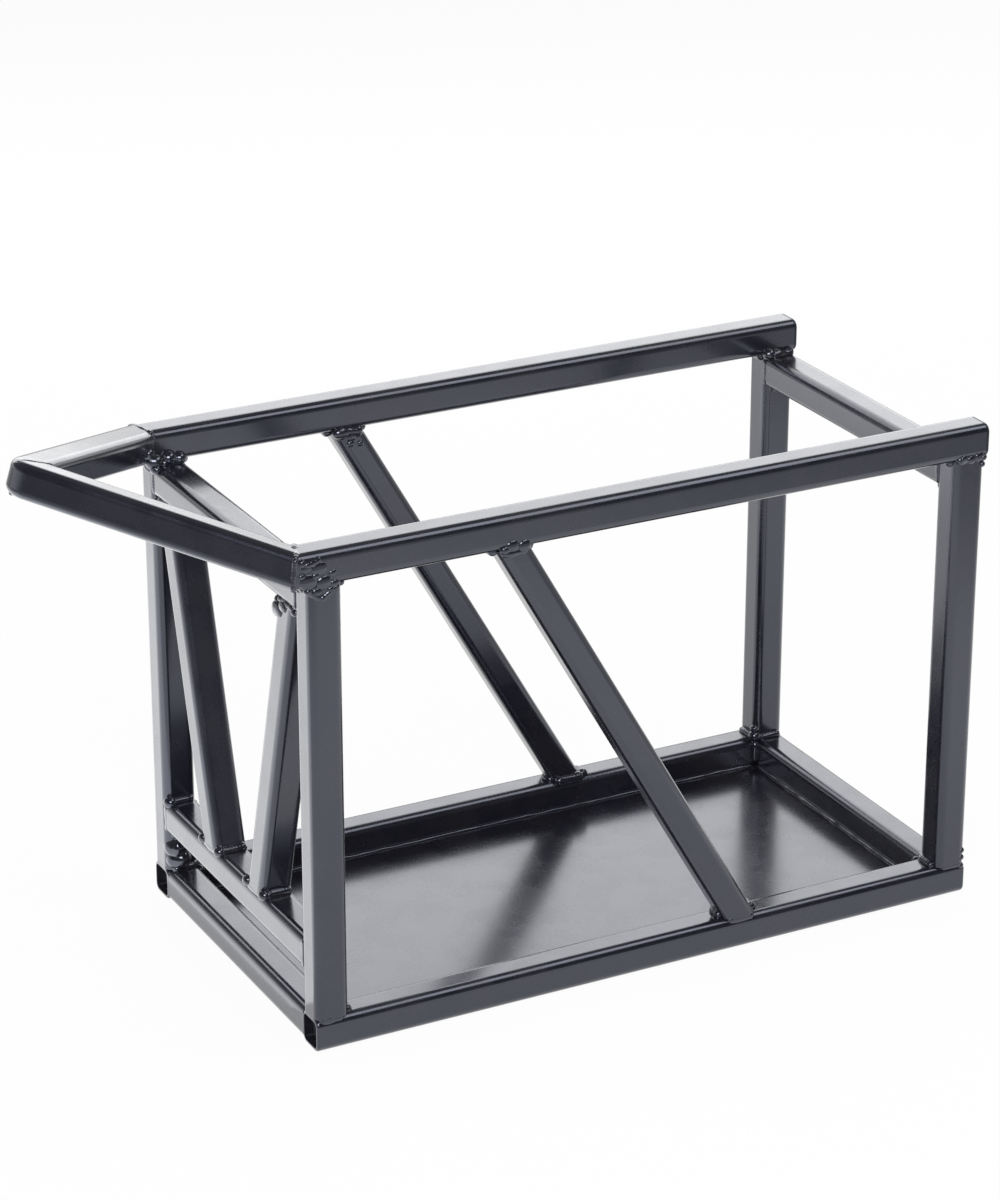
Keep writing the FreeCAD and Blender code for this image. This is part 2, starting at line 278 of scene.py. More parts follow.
# %% [markdown]
# ## Paint
# The tubes are sprayed with black enamel. Sprayed paint isn't a mirror: it dries with a faint orange
# peel, a waviness a millimetre or two across, and its gloss drifts from place to place. A flat black
# with one roughness would look like plastic film. So a wide noise moves the gloss, and the black with it
# between a bluer and a greyer shade, a fine noise adds specks of roughness, and a third makes a very low
# bump.

# %% Noise
def object_point(tree):
    return tree.node("TexCoord", out="Object")


def noise(tree, scale, detail=2.0, roughness=0.5, point=None):
    sockets = {
        "Vector": point or object_point(tree),
        "Scale": scale,
        "Detail": detail,
        "Roughness": roughness,
    }
    return tree.node("TexNoise", {"noise_dimensions": "3D"}, sockets)


print("noise follows each object's own coordinates, in metres")


# %% Enamel
def enamel(name, shades, gloss, peel, lacquer=1.0, lacquer_rough=0.14, streaks=0.0):
    """Black paint: two shades, a range of roughness, and an orange peel of that size and depth in metres.

    Streaks add faint long marks along the rack, as a sheet keeps them from the rollers of the mill.
    """
    material = bpy.data.materials.new(name)
    tree = Tree(material)
    drift = noise(tree, 38.0, 3.0).between(0.35, 0.65)
    specks = noise(tree, 520.0, 4.0, 0.6).between(0.45, 0.75)
    rough = drift.between(0.0, 1.0, gloss[0], gloss[1]) + specks * 0.05
    if streaks:
        long_marks = noise(tree, 1.0, 4.0, 0.6, object_point(tree) * (14.0, 420.0, 30.0))
        rough = rough + long_marks.between(0.3, 0.7, -streaks, streaks)
    skin = noise(tree, 1.0 / peel[0], 2.0, 0.45)
    bump = tree.node("Bump", None, {"Strength": 1.0, "Distance": peel[1], "Height": skin})
    sockets = {
        "Base Color": drift.blend(*shades),
        "Roughness": rough,
        "IOR": 1.6,
        "Specular Tint": colour(0.60, 0.69, 1.0),
        "Coat Weight": lacquer,
        "Coat Roughness": lacquer_rough,
        "Coat IOR": 1.55,
        "Normal": bump,
    }
    shader = tree.node("BsdfPrincipled", None, sockets)
    tree.node("OutputMaterial", None, {"Surface": shader})
    return material


print("enamel takes two shades, a range of roughness and a peel")

# %% Tube paint
blacks = (colour(0.011, 0.011, 0.017), colour(0.015, 0.014, 0.018))
tube_paint = enamel("tube_paint", blacks, (0.18, 0.28), (1.6 * MM, 0.009 * MM))
print("tube paint has", len(tube_paint.node_tree.nodes), "nodes")

# %% [markdown]
# The floor sheet got the same black, but on cold rolled sheet it dries flatter and it shows the long
# marks of the mill through the paint. A scratch texture would repeat, so the marks are noise stretched
# along the rack, and they only move the roughness. Its lacquer is a little duller than the tubes'.

# %% Sheet paint
sheet_peel = (1.6 * MM, 0.004 * MM)
sheet_paint = enamel("sheet_paint", blacks, (0.22, 0.28), sheet_peel, lacquer_rough=0.18, streaks=0.004)
print("sheet paint has", len(sheet_paint.node_tree.nodes), "nodes")

# %% [markdown]
# The beads were sprayed in the same pass and could wear the tubes' own paint. But their domes are only a
# few millimetres wide, and the waviness has to be smaller than a dome. So they get a finer peel, and
# more gloss with it.

# %% Weld paint
weld_peel = (0.9 * MM, 0.010 * MM)
weld_paint = enamel("weld_paint", blacks, (0.10, 0.18), weld_peel, lacquer_rough=0.07)
print("weld paint has", len(weld_paint.node_tree.nodes), "nodes")

# %% [markdown]
# The caps are moulded black polyethylene. It is softer to look at than paint: a fine even grain from
# the mould and no clear layer on top, so it has no lacquer and a higher roughness.

# %% Cap plastic
soft_blacks = (colour(0.010, 0.010, 0.012), colour(0.015, 0.015, 0.016))
cap_plastic = enamel("cap_plastic", soft_blacks, (0.34, 0.44), (0.5 * MM, 0.012 * MM), lacquer=0.0)
print("cap plastic has", len(cap_plastic.node_tree.nodes), "nodes")

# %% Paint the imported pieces
finishes = {
    "tube_paint": tube_paint,
    "plate_paint": sheet_paint,
    "weld_paint": weld_paint,
    "cap_plastic": cap_plastic,
}
for name, node in nodes.items():
    for slot in node.material_slots:
        slot.material = finishes[slots[name]]
print("painted", len(nodes), "nodes")

# %% [markdown]
# ## Where the joints are
# Every bead lies in a corner between two tubes, so all corners are read off the tubes' own boxes and
# no place is typed twice. Lengths along the rack are kept in millimetres from the nose faces, across
# it from the middle, and up from the floor, which is how a welder would mark them out.

# %% Levels and faces
leg_low, leg_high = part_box("leg_nose_near")
nose_face = leg_low.x
tube = (leg_high.x - leg_low.x) / MM
outer, inner = -leg_low.y / MM, -leg_high.y / MM
foot_level, head_level = leg_low.z / MM, leg_high.z / MM
tail_face = (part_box("leg_tail_near")[1].x - nose_face) / MM
bar_low, bar_top = (corner.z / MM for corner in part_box("nose_bar"))
cross_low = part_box("top_cross_nose")[0].z / MM
sheet_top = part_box("floor_plate")[1].z / MM
print("tube", round(tube, 2), "outer", round(outer, 2))
print("head", round(head_level, 2), "tail", round(tail_face, 2))


# %% Places in the welder's millimetres
def at(x, y, z):
    """A point in metres from millimetres along, across and up."""
    return Vector((nose_face + x * MM, y * MM, z * MM))


print("zero is at", [round(c, 4) for c in at(0, 0, 0)])


# %% Ends of the braces
def brace_ends(node, axis, size):
    """Where a leaning brace's foot and head centres are along an axis, and how wide it is cut level."""
    low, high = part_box(node)
    rise = (high.z - low.z) / MM
    span = (high[axis] - low[axis]) / MM
    wide = size
    for _ in range(8):
        wide = size * math.hypot(span - wide, rise) / rise
    start = nose_face if axis == 0 else 0.0
    return (low[axis] - start) / MM + wide / 2, (high[axis] - start) / MM - wide / 2, wide


v_far_foot, v_far_head, v_wide = brace_ends("nose_brace_far", 1, tube)
side_low, side_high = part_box("side_brace_near")
side_size = (side_high.y - side_low.y) / MM
side_inner = -side_high.y / MM
side_head, side_foot, side_wide = brace_ends("side_brace_near", 0, side_size)
print("V brace foot and head", round(v_far_foot, 2), round(v_far_head, 2))
print("side brace head and foot", round(side_head, 2), round(side_foot, 2))

# %% [markdown]
# ## One weld bead
# A bead is a row of small puddles that froze one after another, so it has round ends, a lumpy
# thickness and fine crescents across it that trail back at the sides. A displaced cylinder gives even
# rings like a spring, and a metaball string has no crescents. Here a circle is carried along the
# corner line and its radius is worked out point by point: the slow lumps come from a few random
# heights, the crescents from a wave that lags behind with the angle. Half of the rod is buried in
# the steel and is never seen. A dressed bead, which was ground flush, is cut off by a box.

# %% Points along a rounded corner line
RING_STEP = 0.45


def even_points(corners, step, closed=False):
    """Points a step apart along a line through the corners, with its own corners cut round."""
    line = [Vector(corner) for corner in corners]
    for _ in range(3 if len(line) > 2 else 0):
        following = line[1:] + line[:1] if closed else line[1:]
        cut = []
        for start, end in zip(line, following):
            cut += [start.lerp(end, 0.25), start.lerp(end, 0.75)]
        line = cut if closed else [line[0]] + cut + [line[-1]]
    if closed:
        line.append(line[0])
    spans = [(end - start).length for start, end in zip(line, line[1:])]
    count = max(6, round(sum(spans) / step))
    points, index, passed = [], 0, 0.0
    for number in range(count if closed else count + 1):
        target = min(sum(spans) * number / count, sum(spans) - 1e-9)
        while passed + spans[index] < target:
            passed += spans[index]
            index += 1
        points.append(line[index].lerp(line[index + 1], (target - passed) / spans[index]))
    return points, sum(spans)


rings, across = even_points([at(0, 0, 0), at(0, tube, 0)], RING_STEP * MM)
print("a bead across a tube is", round(across / MM, 1), "mm long and has", len(rings), "rings")

# %% Limits of a bead
box_gap, flush_gap = 0.02, 0.04
cad_low = cad_box[0] + Vector((1, 1, 0)) * box_gap * MM
cad_high = cad_box[1] - Vector((1, 1, 1)) * box_gap * MM
flush_low = Vector((nose_face - flush_gap * MM, -(outer + flush_gap) * MM, cad_low.z))
flush_high = Vector((nose_face + (tail_face + flush_gap) * MM, (outer + flush_gap) * MM, cad_high.z))
print("a dressed bead ends", flush_gap, "mm outside the tubes")

# %% Lumps along a bead
bead_random = random.Random(17)


def wave_heights(length, pitch):
    """A smooth random wave along a bead, from -1 to 1, with one height for each pitch."""
    heights = [bead_random.uniform(-1, 1) for _ in range(int(length / pitch) + 3)]

    def height(place):
        index = int(place / pitch)
        share = place / pitch - index
        share = share * share * (3 - 2 * share)
        return heights[index] * (1 - share) + heights[index + 1] * share

    return height


print("lumps are drawn from one seeded row of numbers")

# %% The bead itself
SIDES = 18
WANDER = 0.22


def weld_bead(
    pool, corners, radius, outward, lump=0.14, pitch=5.2, ripple=1.9, closed=False, dressed=False, flat=1.0
):
    """Add one bead of that radius in millimetres to the pool. It is looked at from outward."""
    points, length = even_points(corners, RING_STEP * MM, closed)
    length /= MM
    lumps, wander = wave_heights(length, pitch), wave_heights(length, pitch * 1.3)
    floor_side = Vector(outward).normalized()
    low, high = (flush_low, flush_high) if dressed else (cad_low, cad_high)
    first = len(pool["points"])
    last = len(points) - 1
    for number, point in enumerate(points):
        before = points[number - 1] if closed or number else point
        after = points[(number + 1) % len(points)] if closed or number < last else point
        along = (after - before).normalized()
        side = along.cross(floor_side).normalized()
        up = side.cross(along).normalized()
        place = length * number / len(points) if closed else length * number / last
        to_end = radius if closed else min(place, length - place)
        taper = math.sqrt(max(0.004, 1 - (1 - min(1.0, to_end / radius)) ** 2))
        centre = point + side * (WANDER * wander(place) * MM)
        size = radius * (1 + lump * lumps(place))
        for step in range(SIDES):
            angle = 2 * math.pi * step / SIDES
            lag = place + 0.5 * radius * (1 - math.cos(angle))
            crest = abs(math.sin(math.pi * lag / ripple)) ** 0.6 - 0.65
            reach = (size + 0.055 * radius * crest) * taper * MM
            spot = centre + (up * math.cos(angle) * flat + side * math.sin(angle)) * reach
            pool["points"].append([min(max(spot[k], low[k]), high[k]) for k in range(3)])
    rings = len(points) if closed else last
    for number in range(rings):
        here, there = first + number * SIDES, first + (number + 1) % len(points) * SIDES
        for step in range(SIDES):
            beside = (step + 1) % SIDES
            pool["faces"].append((here + step, here + beside, there + beside, there + step))
    if not closed:
        pool["faces"].append([first + step for step in reversed(range(SIDES))])
        pool["faces"].append([first + last * SIDES + step for step in range(SIDES)])


print("each ring of a bead has", SIDES, "points")

# %% Drops and puddles
SUNK = 0.4


def blob(pool, place, radius, outward, stretch=0.1, flat=1.0):
    """A short fat bead: one round drop of metal."""
    out = Vector(outward).normalized()
    lean = out.cross(Vector((0, 0, 1))).normalized() * radius * (1 + stretch) * MM
    weld_bead(pool, [place - lean, place + lean], radius, out, 0.05, 4.0, 40.0, flat=flat)


def dome(pool, place, half_width, height, outward, stretch=0.15):
    """A puddle on a face: place lies on the face, and the dome stands that high over it."""
    out = Vector(outward).normalized()
    blob(pool, place - out * SUNK * MM, half_width, out, stretch, (height + SUNK) / half_width)


print("a dome is sunk", SUNK, "mm into its face")


# %% One piece for each family of beads
def new_pool():
    return {"points": [], "faces": []}


def weld_piece(name, node, pool):
    """One painted mesh of beads that stands for a node of plain wedges."""
    mesh = bpy.data.meshes.new(name)
    mesh.from_pydata(pool["points"], [], pool["faces"])
    mesh.validate()
    mesh.shade_smooth()
    piece = bpy.data.objects.new(name, mesh)
    bpy.context.scene.collection.objects.link(piece)
    mesh.materials.append(weld_paint)
    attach(piece, "root")
    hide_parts(node)
    print(name, len(mesh.vertices), "points")


ENDS = {"nose": (0.0, 1), "tail": (tail_face, -1)}
BOTH = {"near": -1, "far": 1}
print("joints at the ends", list(ENDS), "and the sides", list(BOTH))

# %% [markdown]
# ## Feet of the legs
# A leg stands on a rail with rounded edges. Inside, the corner is open and gets an L of bead around
# the leg. Outside, the rail curves away and leaves a groove, which is filled and then ground flush so
# that the side looks like one piece, apart from a small pit where the filling stops short. The tail
# end is the back of the rack, so there the filling is left as it came.

# %% Leg feet
pool = new_pool()
for end, (face, way) in ENDS.items():
    back = face + way * tube
    for side in BOTH.values():
        ell = [
            at(back + way * 0.7, side * (outer - 3.4), foot_level + 0.4),
            at(back + way * 0.7, side * (inner - 0.7), foot_level + 0.6),
            at(face + way * 2.6, side * (inner - 0.7), foot_level + 0.6),
        ]
        weld_bead(pool, ell, 2.7, (way, -side, 1.5))
        groove = [at(face + way * 1.8, side * (outer - 2.2), foot_level - 0.8)]
        groove.append(at(back - way * 3.6, side * (outer - 2.2), foot_level - 0.8))
        weld_bead(pool, groove, 2.5, (0, side, 0.3), 0.1, dressed=end == "nose")
        front = [at(face + way * 1.0, side * (outer - 4), foot_level - 0.4)]
        front.append(at(face + way * 1.0, side * (inner + 3), foot_level - 0.4))
        weld_bead(pool, front, 1.3, (-way, 0, 0.3), 0.1, dressed=end == "nose")
for height in (foot_level - 2, foot_level + 3.5, foot_level + 8):
    blob(pool, at(tail_face - 2.6, -(outer - 1.5), height), 2.0, (0.4, -1, 0))
for height, size in ((foot_level + 2.5, 3.6), (foot_level + 7.5, 2.6)):
    blob(pool, at(tail_face - tube - 1.5, inner - 1.0, height), size, (-1, -1, 0.6))
weld_piece("leg_foot_beads", "welds_leg_feet", pool)

# %% [markdown]
# ## Heads of the legs and the corners of the bow
# The top rails lie on the legs. The corner at the nose end is the busiest of the rack: rail, bow tube,
# leg, cross tube and V brace all meet there, and the welder went over it more than once. A seam runs
# round the mitre between rail and bow, and it stands less than a millimetre proud, because most of it
# is melted into the tubes.

# %% Leg heads
pool = new_pool()
for end, (face, way) in ENDS.items():
    back = face + way * tube
    for side in BOTH.values():
        groove = [at(face + way * 0.5, side * (outer - 2.5), head_level + 0.8)]
        groove.append(at(back - way * 0.8, side * (outer - 2.5), head_level + 0.8))
        weld_bead(pool, groove, 2.8, (0, side, -0.3), 0.18)
        inside = [at(back + way * 0.6, side * (outer - 3.2), head_level - 0.6)]
        inside.append(at(back + way * 0.6, side * (inner + 2.6), head_level - 0.6))
        weld_bead(pool, inside, 2.6, (way, 0, -1))
        out_at = face - way * 0.7
        outside = [at(out_at, side * (outer - 3.2), head_level - 0.7)]
        outside.append(at(out_at, side * (inner + 2.6), head_level - 0.7))
        weld_bead(pool, outside, 2.5 if end == "nose" else 1.7, (-way, 0, -1), 0.2)
print(len(pool["points"]), "points around the leg heads")

# %% Mitre seams of the bow
bow_start, bow_end, bow_rise = -4.0, -112.0, 34.0
seam_proud, crown_proud = 0.42, 0.75
bow_root = (bow_start, outer - tube / 2, head_level + tube / 2)
bow_tip = (bow_end, 0.0, head_level + tube / 2 + bow_rise)
to_tip = Vector([tip - root for tip, root in zip(bow_tip, bow_root)]).normalized()


def mitre_point(side, dy, dz):
    """A point of the mitre plane, from its place across and above the rail's centre line."""
    normal = Vector((1, 0, 0)) - to_tip
    back = (normal.y * dy + normal.z * dz) / normal.x
    return at(bow_root[0] - back, side * (bow_root[1] + dy), bow_root[2] + dz)


for side in BOTH.values():
    seam = 1.7
    deep = tube / 2 - seam + seam_proud
    square = ((-deep, -deep), (deep, -deep), (deep, deep), (-deep, deep))
    ring = [mitre_point(side, dy, dz) for dy, dz in square]
    for start, end in zip(ring, ring[1:] + ring[:1]):
        middle_point = (start + end) / 2
        out = middle_point - mitre_point(side, 0, 0)
        weld_bead(pool, [start.lerp(end, -0.02), start.lerp(end, 1.02)], seam, out, 0.1, 4.0)
    crown = 2.8
    top = tube / 2 - crown + crown_proud
    crest = [mitre_point(side, -deep, top), mitre_point(side, deep - 0.6, top)]
    weld_bead(pool, crest, crown, (0, 0, 1), 0.16, 5.0)
weld_piece("leg_head_beads", "welds_leg_tops", pool)

# %% [markdown]
# ## Cross tubes and the nose bar
# A cross tube butts against the flat of a leg. Above and below it the corner is open, and at its faces
# the leg's rounded edge leaves a groove that takes an upright bead. One joint was closed in a hurry:
# the far end of the low gap holds three big puddles, one over the other.

# %% Upright and level beads of a butted tube
def butt_beads(pool, face, way, side, low, high, above=True, below=True, size=2.5, dressed=False):
    """Beads around the end of a cross tube between two levels, at a leg of the nose or tail end."""
    back = face + way * tube
    for x, out in ((face + way * 1.9, -way), (back - way * 1.9, way)):
        upright = [at(x, side * (inner + 1.3), low + 1.6), at(x, side * (inner + 1.3), high - 1.6)]
        weld_bead(pool, upright, size, (out, -side * 0.3, 0), dressed=dressed and out == -way)
    for level, up, wanted in ((high + 0.6, 1, above), (low - 0.6, -1, below)):
        if wanted:
            flat = [at(face + way * 2.5, side * (inner - 0.7), level)]
            flat.append(at(back - way * 2.5, side * (inner - 0.7), level))
            weld_bead(pool, flat, size, (0, -side, up))


print("an end of a cross tube takes two upright beads and up to two level ones")

# %% Top cross tubes
pool = new_pool()
for end, (face, way) in ENDS.items():
    for name, side in BOTH.items():
        butt_beads(pool, face, way, side, cross_low, head_level, above=False)
        big = 3.6 if (end, name) == ("tail", "far") else 2.7
        roof = [at(face + way * 1.5, side * (inner - 0.9), head_level + 0.8)]
        roof.append(at(face + way * (tube - 1.0), side * (inner - 0.9), head_level + 0.8))
        weld_bead(pool, roof, big, (0, -side, 1), 0.25, 5.6)
for x, lift, size in ((tube - 2, 1.8, 3.9), (tube - 6.5, 2.4, 2.6)):
    blob(pool, at(tail_face - x, inner - 0.5, head_level + lift), size, (-0.5, -1, 0.8))
for x, lift, size in ((0.5, 2.5, 5.0), (9.0, 3.4, 4.6), (-3.0, 8.0, 3.8), (16.0, 2.0, 3.8)):
    blob(pool, at(x, inner - 0.2, head_level + lift), size, (-0.5, -1, 0.8))
for side in BOTH.values():
    for x, y, z, size in ((-0.8, 3.0, -1.2, 3.6), (-0.4, -4.0, -1.0, 3.2), (-0.2, 8.0, -2.4, 2.8)):
        blob(pool, at(x, side * (inner + y), head_level + z), size, (-1, -side * 0.3, 0.3), flat=0.8)
weld_piece("top_cross_beads", "welds_top_cross", pool)

# %% Nose bar
pool = new_pool()
for side in BOTH.values():
    butt_beads(pool, 0.0, 1, side, bar_low, bar_top, dressed=True)
for x, z, size in ((7.5, 6.5, 7.0), (6.0, 14.5, 6.6), (9.0, 20.0, 5.0)):
    blob(pool, at(x, inner + 1.2, foot_level + z), size, (-1, -1, 0.6), flat=0.85)
blob(pool, at(2.4, inner - 1.2, bar_top + 1.0), 3.6, (-1, -1, 1))
weld_piece("nose_bar_beads", "welds_nose_bar", pool)

# %% Corners of the bottom frame
pool = new_pool()
for face, way in ENDS.values():
    for side in BOTH.values():
        x, y = face + way * (tube + 0.7), side * (inner - 0.7)
        weld_bead(pool, [at(x, y, sheet_top + 3.4), at(x, y, foot_level - 0.5)], 2.7, (way, -side, 0.2))
        x, y = face + way * 1.0, side * (inner + 0.5)
        weld_bead(pool, [at(x, y, 3.0), at(x, y, foot_level - 2.0)], 1.3, (-way, 0, 0), 0.1, dressed=True)
weld_piece("base_corner_beads", "welds_base_corners", pool)

# %% [markdown]
# ## Braces
# A brace ends in a slanted cut, so its foot is longer than the tube is wide. Each foot gets a bead on
# both slanted sides, which starts at the front with a shiny knob, and the grooves at the faces are
# filled.

# %% V braces
pool = new_pool()
for side in BOTH.values():
    for centre, level, up in ((v_far_foot, bar_top, 1), (v_far_head, cross_low, -1)):
        for edge in (-1, 1):
            y = side * (centre + edge * (v_wide / 2 + 0.5))
            size = 2.3 if up < 0 and edge > 0 else 3.1
            line = [at(0.9, y, level + up * 0.6), at(tube - 1.2, y, level + up * 0.6)]
            weld_bead(pool, line, size, (0, side * edge, up), 0.16)
            blob(pool, at(1.8, y, level + up * 0.8), 3.3 if up > 0 else 2.4, (-1, side * edge, up))
        for x, out in ((2.0, -1), (tube - 2.0, 1)):
            reach = v_wide / 2 - 1.2
            line = [at(x, side * (centre - reach), level - up * 0.7)]
            line.append(at(x, side * (centre + reach), level - up * 0.7))
            weld_bead(pool, line, 2.3, (out, 0, up * 0.2), 0.12, dressed=up > 0 and out < 0)
    edge_y = side * (v_far_head - v_wide / 2)
    dome(pool, at(0, edge_y + side * 1.5, cross_low - 5.5), 4.6, 2.0, (-1, 0, 0), 0.25)
    dome(pool, at(0, edge_y + side * 9.0, cross_low - 1.5), 3.4, 1.6, (-1, 0, 0), 0.25)
weld_piece("v_brace_beads", "welds_nose_braces", pool)

# %% Side braces
pool = new_pool()
half = side_wide / 2
for name, side in BOTH.items():
    for centre, level, up in ((side_head, head_level, -1), (side_foot, foot_level, 1)):
        for edge in (-1, 1):
            x = centre + edge * (half + 0.4)
            size = 3.6 if (name, up, edge) == ("far", 1, -1) else 2.9
            end_y = outer - (3.2 if up < 0 else 6.0)
            line = [at(x, side * (side_inner + 1.0), level + up * 0.5)]
            line.append(at(x, side * end_y, level + up * 0.5))
            weld_bead(pool, line, size, (edge, 0, up), 0.16)
        y = side * (side_inner - 0.6)
        line = [at(centre - half + 0.6, y, level + up * 0.6), at(centre + half - 0.6, y, level + up * 0.6)]
        weld_bead(pool, line, 3.3 if name == "far" else 2.8, (0, -side, up), 0.25, 5.6)
        y = side * (outer - 2.5)
        line = [at(centre - half + 1.4, y, level - up * 0.9), at(centre + half - 1.4, y, level - up * 0.9)]
        weld_bead(pool, line, 2.7, (0, side, up * 0.2), 0.08, 5.6, dressed=up > 0)
blob(pool, at(side_foot + half + 0.5, side_inner + 2.0, foot_level + 1.2), 3.2, (0.6, -1, 1))
for x, drop, size in ((-5.5, 3.5, 2.6), (0.5, 4.5, 3.0), (5.5, 3.0, 2.5), (-2.5, 9.0, 2.2), (3.5, 9.5, 2.0)):
    dome(pool, at(side_head + x + drop * 0.55, side_inner, head_level - drop), size, 1.2, (0, -1, 0))
weld_piece("side_brace_beads", "welds_side_braces", pool)

# %% [markdown]
# ## Puddles on the outer faces
# Three joints of each side were closed from outside and left as they cooled: the corner of the bow, the
# head of the side brace and the head of the tail leg. They are rows and heaps of puddles about a
# millimetre proud, and because each one is a little dome, each one catches its own light. One lumpy
# sheet would catch a single smear, so every puddle is a blob of its own, sunk to the depth that leaves
# the right height showing.

# %% Places of the outer puddles
BOW_HEAP = (
    (-0.6, 12.2, 2.9, 0.8),
    (6.8, 10.6, 4.2, 0.85),
    (0.4, 4.6, 4.6, 1.0),
    (9.2, 2.6, 4.0, 1.0),
    (-3.6, 8.2, 1.9, 0.9),
    (13.6, 7.2, 2.2, 0.7),
    (4.6, -1.8, 2.8, 0.9),
    (15.0, 1.2, 2.4, 0.8),
    (4.4, 7.2, 2.2, 1.0),
    (12.6, -1.6, 2.0, 0.9),
)
BOW_STROKES = (
    ((-2.0, 0.6), (7.4, -6.8)),
    ((6.4, -7.2), (18.0, 0.4)),
    ((-3.8, 18.0), (-2.6, 13.0)),
    ((-2.8, 13.4), (8.0, 16.6)),
)
BRACE_ROW = ((-6.2, 1.2, 2.3), (-1.6, 2.5, 3.6), (5.3, 1.7, 3.5))
LEG_ROW = ((4.0, 1.8, 2.9), (9.4, 0.6, 2.5), (14.4, 1.8, 2.4))
LEG_EDGE = ((1.3, 1.0, 2.3), (1.9, -3.2, 1.9))
print(len(BOW_HEAP), "puddles at the bow", len(BRACE_ROW), "at a brace head", len(LEG_ROW), "at a leg head")

# %% Outer puddles
pool = new_pool()
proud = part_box("welds_outer_faces")[1].y / MM - outer


def outer_puddle(x, side, z, half_width, share):
    """A puddle on a side face: share is its part of the most that any puddle stands proud."""
    place = at(x + bead_random.uniform(-0.4, 0.4), side * outer, z + bead_random.uniform(-0.4, 0.4))
    dome(pool, place, half_width, share * proud, (0, side, 0))


for side in BOTH.values():
    for step, lift, size in BRACE_ROW:
        outer_puddle(side_head + step, side, head_level + lift, size, 1.0)
    row = [at(side_head - 8, side * (outer - 1.5), head_level - 1.6)]
    row.append(at(side_head + 8, side * (outer - 1.5), head_level - 1.6))
    weld_bead(pool, row, 2.2, (0, side, -0.4), 0.2, 5.6)
    for x, z, size, share in BOW_HEAP:
        outer_puddle(x, side, head_level + z, size, share)
    for stroke_ends in BOW_STROKES:
        stroke = [at(x, side * (outer - 1.1), head_level + z) for x, z in stroke_ends]
        weld_bead(pool, stroke, 2.3, (0, side, -0.2), 0.16, 4.6)
    for x, z, size in LEG_ROW:
        outer_puddle(tail_face - x, side, head_level + z, size, 0.8)
    for x, z, size in LEG_EDGE:
        blob(pool, at(tail_face - x, side * (outer - 0.9), head_level + z), size, (1, side, 0))
weld_piece("outer_puddles", "welds_outer_faces", pool)

# %% [markdown]
# ## Tip of the bow and the floor sheet
# The two tubes of the bow meet in a mitre at the tip. Its seam is fine and runs over the top, down the
# inner corner and along the underside. The sheet lies low between the tubes, and a thin seam fills the
# groove between its edge and their rounded corners. From above, the seam is the line that parts the dark
# side of a tube from its own reflection in the sheet.

# %% Tip of the bow
pool = new_pool()
reach_out = Vector((bow_tip[0] - bow_root[0], 0, bow_tip[2] - bow_root[2])).normalized()
bow_up = Vector((-reach_out.z, 0, reach_out.x)) * (1 if reach_out.x > 0 else -1)
half_angle = math.atan2(bow_root[1], math.hypot(bow_tip[0] - bow_root[0], bow_tip[2] - bow_root[2]))
tip_point = at(*bow_tip)
seam = 1.6
deep = (tube / 2 - seam + seam_proud) * MM
nose_reach, heel_reach = 6.6 * MM, (tube / 2 / math.sin(half_angle) - 0.6) * MM
for level in (-1, 1):
    line = [tip_point + reach_out * nose_reach + bow_up * level * deep]
    line.append(tip_point - reach_out * heel_reach + bow_up * level * deep)
    weld_bead(pool, line, seam, bow_up * level, 0.12, 4.2)
heel = tip_point - reach_out * heel_reach
weld_bead(pool, [heel + bow_up * 7.5 * MM, heel - bow_up * 7.5 * MM], 2.3, -reach_out, 0.12)
weld_piece("bow_tip_bead", "weld_bow_tip", pool)

# %% Seams of the floor sheet
pool = new_pool()
seam_level = sheet_top + 0.1
seam_y, corner_gap, seam_size = inner + 0.9, 2.0, 1.2
for side in BOTH.values():
    line = [at(tube + corner_gap, side * seam_y, seam_level)]
    line.append(at(tail_face - tube - corner_gap, side * seam_y, seam_level))
    weld_bead(pool, line, seam_size, (0, -side, 0.6), 0.3, 7.0)
for face, way in ENDS.values():
    x = face + way * (tube - 0.9)
    line = [at(x, corner_gap - inner, seam_level), at(x, inner - corner_gap, seam_level)]
    weld_bead(pool, line, seam_size, (way, 0, 0.6), 0.3, 7.0)
    for side in BOTH.values():
        corner = at(face + way * (tube + 0.8), side * (inner - 0.8), sheet_top)
        dome(pool, corner, 4.4, 0.7, (0, -0.02 * side, 1))
weld_piece("sheet_seams", "welds_floor_plate", pool)

# %% [markdown]
# ## End caps
# The open ends of the rails are closed with moulded caps. Those of the top rails cover the cut end and
# have a crowned face with a soft edge. Those of the bottom rails are plugs pushed a few millimetres into
# the tube. A bevelled box would have the wrong corners, so a cap is a stack of rounded squares: each one
# has its distance along the tube, its half width and its corner radius, and the skin runs from one to
# the next.

# %% Rounded squares
CORNER_STEPS = 7


def rounded_square(half, radius):
    """Points round a square of that half width with rounded corners, in millimetres."""
    points = []
    for quarter in range(4):
        for step in range(CORNER_STEPS + 1):
            angle = math.pi / 2 * (quarter + step / CORNER_STEPS)
            across = half - radius
            sign_y, sign_z = ((1, 1), (-1, 1), (-1, -1), (1, -1))[quarter]
            y = sign_y * across + radius * math.cos(angle)
            points.append((y, sign_z * across + radius * math.sin(angle)))
    return points


print("a rounded square has", len(rounded_square(tube / 2, tube / 4)), "points")


